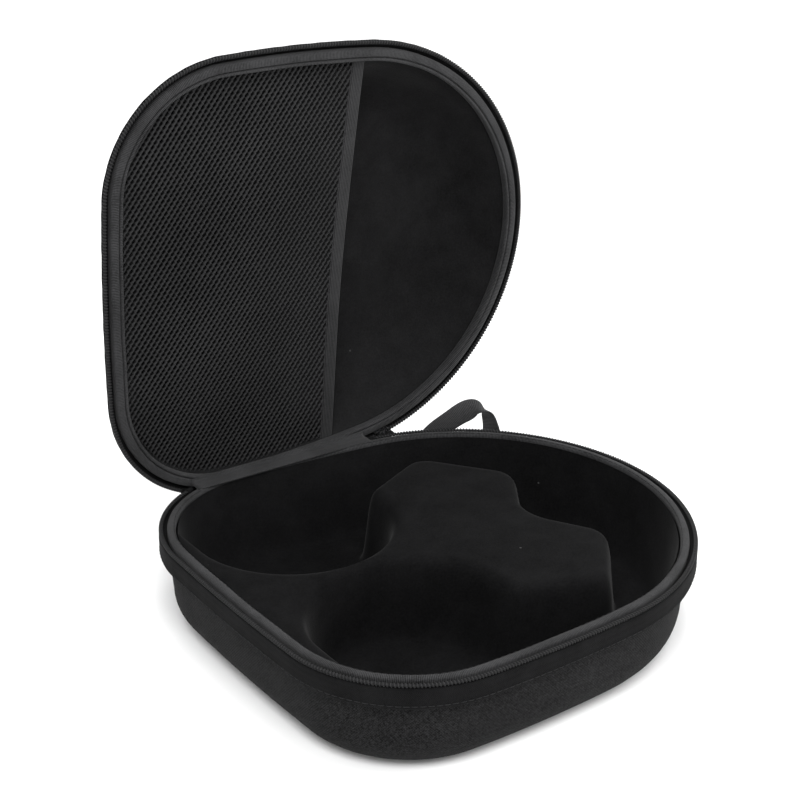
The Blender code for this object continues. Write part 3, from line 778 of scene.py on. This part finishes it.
def base_soft():
    base_skin()
    tray()
    swept(
        "base_binding_ribbon", LOOP, binding_rows(-1), puckers(-1, 11), body="base", finish=RIBBON,
        node="base_binding", slot="ribbon")
    zip_run = Run(ZIP_ARCS, 1.5)
    rows = smooth_rows([(-1.9, -4.2), (-1.3, -3.7), (-0.4, -3.5), (0.2, -2.9), (0.7, -2.45), (1.6, -2.4),
                        (2.1, -2.9), (2.2, -4.5), (2.1, -7.5), (2.05, -10.0), (1.85, -11.2), (1.2, -11.8),
                        (0.2, -11.9), (-1.0, -11.6), (-2.2, -11.2)], 0.6)
    swept(
        "base_tape_cloth", zip_run, rows, waver(5), body="base", finish=TAPE,
        node=("base_tape", "base_welt"), slot="tape")
    stitches("base_tape_stitches", zip_run, 2.12, -10.1, "base", normal=(1.0, 0.0))
    stitches("base_binding_stitches", LOOP, -4.3, -0.3, "base", radius=0.16, normal=(0.0, 1.0))
    coil("base_coil_teeth", -1, "base", nodes="base_coil")
    end_stops("base", -1, "base")


# ------------------------------------------------------------------ lid

def lid_soft():
    outside = [
        (-2.3, 1.3), (-2.4, 4.4), (-6.4, 9.6), (-10.4, 15.0), (-15.0, 20.6), (-21.0, 25.6), (-30.0, 29.6),
        (-42.0, 31.5)]
    rows = smooth_rows(outside, 1.8)
    swept(
        "lid_skin", LOOP, rows, skin_lumps(40), cap=0.6, body="lid", finish=SKIN, node="lid_shell",
        slot="shell", lid=True)
    inside = [
        (-6.0, 1.3), (-6.1, 4.0), (-9.5, 7.4), (-13.5, 12.7), (-17.9, 18.0), (-23.1, 22.4), (-31.2, 26.0),
        (-42.0, 27.7)]
    swept(
        "lid_flock_lining", LOOP, smooth_rows(inside, 1.8), skin_lumps(60, 0.2), cap=0.5, body="lid",
        finish=LINING, node="lid_lining", slot="velvet", lid=True)
    swept(
        "lid_binding_ribbon", LOOP, binding_rows(1), puckers(1, 31), body="lid", finish=RIBBON,
        node="lid_binding", slot="ribbon", lid=True)
    zip_run = Run(ZIP_ARCS, 1.5)
    rows = smooth_rows([(-1.9, 4.2), (-1.3, 3.7), (-0.4, 3.5), (0.2, 2.9), (0.7, 2.45), (1.5, 2.4),
                        (2.0, 2.8), (0.9, 4.1), (-1.2, 6.6), (-3.0, 8.8), (-4.0, 9.7), (-5.0, 9.8),
                        (-6.2, 9.4)], 0.6)
    swept(
        "lid_tape_cloth", zip_run, rows, waver(9), body="lid", finish=TAPE, node=("lid_tape", "lid_welt"),
        slot="tape", lid=True)
    stitches("lid_tape_stitches", zip_run, -2.45, 8.3, "lid", lid=True, normal=(0.75, 0.65))
    stitches("lid_binding_stitches", LOOP, -5.2, 0.95, "lid", lid=True, radius=0.16, normal=(0.0, -1.0))
    coil("lid_coil_teeth", 1, "lid", lid=True, nodes="lid_coil")
    end_stops("lid", 1, "lid", lid=True)


FREE, BACK = np.array([17.5, -86.0]), np.array([4.3, 84.0])
POCKET_HEIGHT = 5.1
BAND_BOW = 2.0


def band_line(count):
    """The pocket's free edge, slightly bowed, from the front rim to the hinge rim."""
    t = np.linspace(-0.035, 1.03, count)
    along = (BACK - FREE) / np.linalg.norm(BACK - FREE)
    side = np.array([along[1], -along[0]])
    bow = side * (BAND_BOW * np.sin(pi * np.clip(t, 0, 1)))[:, None]
    return FREE + (BACK - FREE) * t[:, None] - bow, side


def sag(xy):
    """How far the net bellies out of its plane."""
    x, y = xy[:, 0], xy[:, 1]
    return 0.55 * np.sin(x / 31.0 + 1.0) * np.cos(y / 43.0) + 0.3 * np.sin((x * 0.8 + y) / 17.0)


def pocket():
    """The knitted net, with slanting ribs round its holes, and the elastic band along its free edge."""
    a, b = 3.7, 2.75
    far, near = (a * a + b * b) / (4 * a), (a * a - b * b) / (4 * a)
    hexagon = np.array([(0, far), (b / 2, near), (b / 2, -near), (0, -far), (-b / 2, -near), (-b / 2, near)])
    rib, bridge = 0.34, -0.5
    edges = [rib, rib, bridge, rib, rib, bridge]
    rim12, lift12 = [], []
    for k in range(6):
        rim12 += [hexagon[k], (hexagon[k] + hexagon[(k + 1) % 6]) / 2]
        lift12 += [0.1, edges[k]]
    rim12, lift12 = np.array(rim12), np.array(lift12)
    slant = np.array([b, -a]) / np.hypot(a, b)
    cross = np.array([slant[1], -slant[0]])
    angle = np.arctan2(rim12 @ cross, rim12 @ slant)
    hole = 0.98 * np.cos(angle)[:, None] * slant + 0.68 * np.sin(angle)[:, None] * cross
    centres = []
    for i in range(-80, 80):
        for j in range(-80, 80):
            centres.append((j * b, i * a))
            centres.append((j * b + b / 2, i * a + a / 2))
    centres = np.array(centres)
    reach, inside = distance_to(centres, full(2.0).point)
    line, side = band_line(40)
    ahead = (centres - FREE) @ side
    t = ((centres - FREE) @ (BACK - FREE)) / ((BACK - FREE) @ (BACK - FREE))
    limit = -BAND_BOW * np.sin(pi * np.clip(t, 0, 1)) + 0.5
    centres = centres[inside & (reach > 7.1) & (ahead < limit)]
    # crown collects painted light and shade for each point of the net: bright on the ribs' crowns, dark on the
    # bridges and round the holes.
    keys, points, faces, crown = {}, [], [], []
    for centre in centres:
        outer = []
        for offset, lift in zip(rim12, lift12):
            spot = centre + offset
            key = (round(spot[0] * 20), round(spot[1] * 20))
            if key not in keys:
                keys[key] = len(points)
                points.append((spot[0], spot[1], lift))
                # Painted highlight on the ribs' crowns, a little less at the hexagon corners, and painted
                # shade on the bridges.
                crown.append(1.0 if lift > 0.2 else 0.75 if lift > 0 else 0.15)
            outer.append(keys[key])
        inner = []
        wobble = 1 + rng.normal() * 0.05
        for offset in hole:
            inner.append(len(points))
            points.append((centre[0] + offset[0] * wobble, centre[1] + offset[1] * wobble, -0.2))
            # Painted shade round the hole's edge.
            crown.append(0.12)
        for k in range(12):
            k2 = (k + 1) % 12
            faces.append((outer[k], outer[k2], inner[k2], inner[k]))
    points = np.array(points)
    z = POCKET_HEIGHT + sag(points[:, :2]) * 0.7 - points[:, 2]
    solid = np.stack([points[:, 0], points[:, 1], RIM + z], 1)
    faces = np.array(faces)
    uv = solid[faces.ravel()][:, :2]
    net = make("pocket_net", solid, faces, uv, finish=NET, lid=True)
    # The net's painted light and shade go to its material as a point attribute.
    shade = net.data.attributes.new("painted_rib_light_shade", "FLOAT", "POINT")
    shade.data.foreach_set("value", crown)
    thick = net.modifiers.new("Yarn", "SOLIDIFY")
    thick.thickness = 0.55 * MM
    thick.offset = 0.0
    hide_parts("pocket_mesh")
    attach(net, "lid")

    line, side = band_line(120)
    profile = squared(20, 3.1, 0.45, 0.75, 0.7)
    grow = waves(np.linspace(0, 170, 120), 170, (9, 17, 31), 77) * 0.12
    points = np.zeros((120, 20, 3))
    v = travel(np.array(profile))
    height = POCKET_HEIGHT + sag(line) * 0.5
    for k, (across, up) in enumerate(profile):
        points[:, k, :2] = line + side * across
        points[:, k, 2] = RIM + height + up + grow * (up > 0)
    quads, uv = lattice(points, False, True, np.linspace(0, 180, 120), np.append(v, v[-1] + 0.5))
    make(
        "pocket_band_elastic", points.reshape(-1, 3), quads, uv, finish=BAND, lid=True, node="pocket_band",
        slot="ribbon", body="lid")


BAND = ribbed(
    "band_elastic", (0.006, 0.006, 0.0063), (0.026, 0.026, 0.027), rib=0.8, along=False, depth=0.0001)

# ------------------------------------------------------------------ hinge, strap, slider

def hinge_cloth():
    """The strip of skin that joins the halves outside, and the ribbon over the joint inside."""
    run = Run(HINGE_ARCS, 1.5, start=1.0, stop=1.0)
    peak = run.point[:, 1] - HINGE[1]
    for name, rows, finish, slot, nodes, start, end in (
        ("hinge_strip",
         [(3.1, -12.0), (2.9, -8.0), (2.75, -4.0), (2.9, -1.6), (3.6, -3.0), (5.0, -3.9), (6.7, -3.6),
          (8.0, -2.9), (10.4, -1.4), (13.6, 2.2)],
         SKIN, "shell", ("base_hinge_leaf", "lid_hinge_leaf"), (3.2, -2.0), (8.0, -2.9)),
        ("hinge_ribbon", [(-3.5, 3.2), (-0.5, 3.3), (1.5, 3.3), (2.9, 3.7), (3.5, 4.4), (3.7, 5.2)],
         RIBBON, "ribbon", (), (0.6, 3.3), (3.6, 5.0)),
    ):
        rows = smooth_rows(rows, 0.5)
        v = travel(rows)
        points = np.zeros((len(run.s), len(rows), 3))
        for j, (u, w) in enumerate(rows):
            closed_in = 0
            if name == "hinge_strip":
                closed_in = (peak - peak.max()) * max(0.0, 1 - j / (0.55 * len(rows)))
            points[:, j, 0] = run.point[:, 0]
            points[:, j, 1] = HINGE[1] + u + closed_in
            points[:, j, 2] = HINGE[2] + w
        quads, uv = lattice(points, False, False, run.s, v)
        made = make(name, points.reshape(-1, 3), quads, uv, finish=finish, slot=slot, node=nodes)
        thick = made.modifiers.new("Cloth", "SOLIDIFY")
        thick.thickness = 0.7 * MM
        thick.offset = 0
        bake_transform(made)


def strap():
    """A loop of flat webbing standing off the wall, twisted a little as it folds over."""
    middle = radians(56)
    out = np.array([cos(middle), sin(middle), 0])
    along = np.array([-sin(middle), cos(middle), 0])
    root = np.array([END_C[0], END_C[1], RIM]) + out * END_R
    path = np.array([(17.5, -13.3, 2.4), (16.3, -9.5, 4.3), (11.6, -4.4, 6.3), (4.0, 1.5, 7.2),
                     (-1.5, 4.9, 8.0), (-7.0, 6.8, 9.0), (-11.5, 4.3, 8.8), (-13.7, -2.0, 7.6),
                     (-14.0, -8.0, 5.3), (-13.0, -13.3, 2.9)])
    wide = np.array([(1.0, 0.0, 0.0), (0.85, 0.5, 0.0), (0.62, 0.78, 0.0), (0.57, 0.82, 0.0),
                     (0.5, 0.7, 0.35), (0.3, 0.3, 0.85), (0.6, 0.1, 0.8), (0.7, 0.0, 0.7),
                     (0.87, 0.0, 0.5), (1.0, 0.0, 0.0)])
    fine = curve_through(path, 8)
    spread = curve_through(wide, 8)
    centre = root + fine[:, :1] * along + fine[:, 2:] * out + np.array([0, 0, 1]) * fine[:, 1:2]
    tangent = np.gradient(centre, axis=0)
    tangent /= np.linalg.norm(tangent, axis=1)[:, None]
    width_dir = spread[:, :1] * along + spread[:, 2:] * out + np.array([0, 0, 1]) * spread[:, 1:2]
    width_dir -= tangent * np.sum(width_dir * tangent, 1)[:, None]
    width_dir /= np.linalg.norm(width_dir, axis=1)[:, None]
    face_dir = np.cross(tangent, width_dir)
    profile = squared(24, 4.9, 0.3, 0.62, 0.55)
    points = np.stack([centre + x * width_dir + y * face_dir for x, y in profile], 1)
    v = travel(np.array(profile))
    s = np.concatenate([[0], np.cumsum(np.linalg.norm(np.diff(centre, axis=0), axis=1))])
    quads, uv = lattice(points, False, True, s, np.append(v, v[-1] + 0.4))
    ends = np.array([np.arange(24), (len(centre) - 1) * 24 + np.arange(24)[::-1]])
    uv = np.vstack([uv, np.zeros((48, 2))])
    make(
        "strap_webbing", points.reshape(-1, 3), [quads, ends], uv, body="strap", finish=WEBBING,
        node="strap_loop", slot="webbing")

    run = Run([(END_C, END_R, 56 - 15.5, 56 + 15.5)], 0.8)
    rows = smooth_rows(
        [(-1.9, -12.2), (0.6, -12.2), (2.0, -12.8), (2.3, -14.5), (2.1, -17.5), (1.2, -19.4), (-1.0, -20.2),
        (-2.6, -20.4)], 0.5)
    swept("strap_patch_cloth", run, rows, body="base", finish=RIBBON, node="strap_patch", slot="ribbon")
    stitches("strap_patch_stitches", run, 2.2, -16.6, "base", normal=(1.0, 0.0), pitch=2.6, long=2.0)


def metal_parts():
    """The slider and its pull: black paint, and edges rounded a little."""
    for name in ("zip_slider", "zip_pull"):
        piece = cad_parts[name]
        piece.data.materials.clear()
        piece.data.materials.append(METAL)
        soft = piece.modifiers.new("Rounded", "BEVEL")
        soft.width = 0.28 * MM
        soft.segments = 3
        soft.limit_method = "ANGLE"
        soft.angle_limit = radians(30)
        piece.data.shade_smooth()


# ------------------------------------------------------------------ stage

def area_light(name, place, target, size, power):
    """A round soft light that faces its target."""
    data = bpy.data.lights.new(name, "AREA")
    data.shape = "DISK"
    data.size = size
    data.energy = power
    lamp = bpy.data.objects.new(name, data)
    bpy.context.scene.collection.objects.link(lamp)
    lamp.location = place
    lamp.rotation_euler = (Vector(target) - Vector(place)).to_track_quat("-Z", "Y").to_euler()


def stage():
    floor = bpy.data.meshes.new("floor")
    floor.from_pydata([(-6, -6, 0), (6, -6, 0), (6, 6, 0), (-6, 6, 0)], [], [(0, 1, 2, 3)])
    ground = bpy.data.objects.new("floor", floor)
    bpy.context.scene.collection.objects.link(ground)
    ground.location.z = -0.0002
    made, tree, main = shader("floor_paper", (0.9, 0.9, 0.9), 0.9, specular=0.1)
    grain = noise(tree, node(tree, "TexCoord").outputs["Object"], 40, 3)
    tree.links.new(ramp(tree, grain, [(0.0, 0.88), (1.0, 0.92)]), main.inputs["Base Color"])
    floor.materials.append(made)
    world = bpy.data.worlds.new("studio")
    world.use_nodes = True
    world.node_tree.nodes["Background"].inputs["Color"].default_value = (1, 1, 1, 1)
    world.node_tree.nodes["Background"].inputs["Strength"].default_value = 1.0
    bpy.context.scene.world = world
    area_light("key", (-0.55, -0.75, 1.15), (0, 0, 0.08), 0.7, 16)
    area_light("fill", (1.0, -0.7, 0.6), (0, 0, 0.06), 0.9, 9)
    area_light("top", (0.1, 0.25, 1.3), (0, 0, 0.05), 0.8, 8)


def camera():
    azimuth, elevation, roll = radians(-34.58), radians(24.63), radians(0.62)
    target = Vector((-0.02175, 0.0049, 0.1086))
    back = Vector((sin(azimuth) * cos(elevation), -cos(azimuth) * cos(elevation), sin(elevation)))
    data = bpy.data.cameras.new("camera")
    data.sensor_width = 36
    data.lens = 97.32
    data.clip_start = 0.05
    made = bpy.data.objects.new("camera", data)
    bpy.context.scene.collection.objects.link(made)
    side = Vector((0, 0, 1)).cross(back).normalized()
    up = back.cross(side)
    turned = Matrix((side * cos(roll) + up * sin(roll), up * cos(roll) - side * sin(roll), back)).transposed()
    made.matrix_world = Matrix.Translation(target + back * 0.869) @ turned.to_4x4()
    bpy.context.scene.camera = made


base_soft()
lid_soft()
pocket()
hinge_cloth()
strap()
metal_parts()
stage()
camera()
bpy.context.scene.view_settings.view_transform = "Standard"
